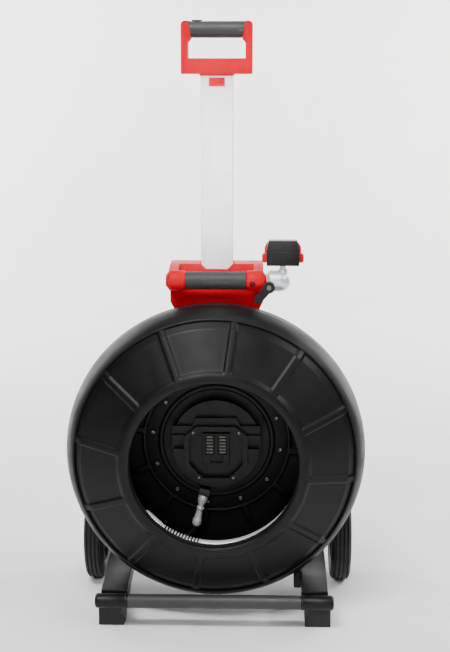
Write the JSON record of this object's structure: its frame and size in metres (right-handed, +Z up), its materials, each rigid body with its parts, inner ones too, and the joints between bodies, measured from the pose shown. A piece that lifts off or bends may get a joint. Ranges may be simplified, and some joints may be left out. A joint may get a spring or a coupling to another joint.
{
  "type": "pipe inspection cable reel",
  "caption": "Wheeled reel with an open-mouthed drum of push cable and camera head, a telescoping handle, a carry grip and a swinging monitor dock.",
  "frame": {"origin": "on the floor, at the middle of the plan of the cart and drum", "axes": "+Z up, -Y towards the front of the drum, +X towards the monitor dock, so +Y is the drum axis pointing back to the wheels"},
  "size_m": [0.53, 0.355, 1.0495],
  "materials": {
    "drum_plastic": "satin moulded",
    "red_plastic": "satin moulded",
    "grip_rubber": "fine matte texture",
    "black_plastic": "fine texture",
    "silver_tube": "satin anodised",
    "silver_casting": "cast and painted satin",
    "zinc_steel": "turned",
    "bright_steel": "polished",
    "contact_brass": "plated",
    "cable_jacket": "smooth satin",
    "tyre_rubber": "matte moulded",
    "lens_glass": "clear over dark"
  },
  "bodies": {
    "cart": {"spine_front_cover": "red_plastic", "spine_rear_cover": "red_plastic", "cover_screws": "zinc_steel", "guide_tube": "silver_tube", "grip_bracket": "red_plastic", "lower_grip": "grip_rubber", "spindle": "zinc_steel", "spindle_nut": "zinc_steel", "spindle_screws": "zinc_steel", "slip_ring_stator": "black_plastic", "dock_base": "black_plastic", "dock_frame": "black_plastic", "contact_block": "black_plastic", "dock_contacts": "contact_brass", "dock_screws": "zinc_steel", "base_housing": "black_plastic", "left_rail": "black_plastic", "right_rail": "black_plastic", "front_bar": "zinc_steel", "bar_grip": "grip_rubber", "bar_end_sleeves": "black_plastic", "left_foot": "tyre_rubber", "right_foot": "tyre_rubber", "axle": "zinc_steel", "axle_clips": "zinc_steel", "drum_rub_block": "tyre_rubber"},
    "drum": {"drum_front_shell": "drum_plastic", "drum_rear_shell": "drum_plastic", "drum_seam_screws": "zinc_steel", "drum_hub": "drum_plastic", "hub_screws": "zinc_steel", "drum_bearings": "zinc_steel", "slip_ring_rotor": "contact_brass", "cable_outlet": "black_plastic", "cable_connector": "bright_steel", "connector_nut": "bright_steel", "push_cable_ends": "cable_jacket", "push_cable_coil": "cable_jacket", "spring_tail": "bright_steel", "spring_flex": "bright_steel", "camera_head": "bright_steel", "camera_window": "lens_glass"},
    "left_wheel": {"left_tyre": "tyre_rubber", "left_rim": "black_plastic", "left_wheel_cap": "black_plastic"},
    "right_wheel": {"right_tyre": "tyre_rubber", "right_rim": "black_plastic", "right_wheel_cap": "black_plastic"},
    "handle": {"inner_tube": "silver_tube", "handle_frame": "red_plastic", "upper_grip": "grip_rubber", "release_spring": "zinc_steel"},
    "handle_button": {"release_button": "black_plastic"},
    "arm": {"mount_arm": "silver_casting"},
    "lever": {"clamp_lever": "black_plastic"},
    "monitor": {"swivel_post": "bright_steel", "monitor_dock": "black_plastic"},
    "dock_left_key": {"dock_left_button": "red_plastic"},
    "dock_right_key": {"dock_right_button": "red_plastic"}
  },
  "joints": [
    {"name": "drum_spin", "type": "hinge", "parent": "cart", "child": "drum", "pos_m": [0, -0.0205, 0.301], "axis": [0, 1, 0], "continuous": true},
    {"name": "left_wheel_spin", "type": "hinge", "parent": "cart", "child": "left_wheel", "pos_m": [-0.232, 0.0875, 0.09], "axis": [1, 0, 0], "continuous": true},
    {"name": "right_wheel_spin", "type": "hinge", "parent": "cart", "child": "right_wheel", "pos_m": [0.232, 0.0875, 0.09], "axis": [1, 0, 0], "continuous": true},
    {"name": "handle_slide", "type": "slide", "parent": "cart", "child": "handle", "axis": [0, 0, 1], "range_m": [-0.33, 0]},
    {"name": "release_press", "type": "slide", "parent": "handle", "child": "handle_button", "axis": [0, 0, 1], "range_m": [-0.0025, 0], "stiffness_N_per_m": 400, "springref_m": 0.003, "deforming": ["release_spring"]},
    {"name": "arm_swing", "type": "hinge", "parent": "cart", "child": "arm", "pos_m": [0.1, -0.0455, 0.602], "axis": [1, 0, 0], "range_deg": [-25, 60]},
    {"name": "lever_turn", "type": "hinge", "parent": "arm", "child": "lever", "pos_m": [0.093, -0.0746, 0.595], "axis": [0, -1, 0], "range_deg": [0, 75]},
    {"name": "monitor_turn", "type": "hinge", "parent": "arm", "child": "monitor", "pos_m": [0.117, -0.0455, 0.615], "axis": [0, 0, 1], "range_deg": [-90, 90]},
    {"name": "left_key_press", "type": "slide", "parent": "monitor", "child": "dock_left_key", "axis": [1, 0, 0], "range_m": [0, 0.003], "stiffness_N_per_m": 300, "springref_m": -0.003},
    {"name": "right_key_press", "type": "slide", "parent": "monitor", "child": "dock_right_key", "axis": [-1, 0, 0], "range_m": [0, 0.003], "stiffness_N_per_m": 300, "springref_m": -0.003}
  ]
}
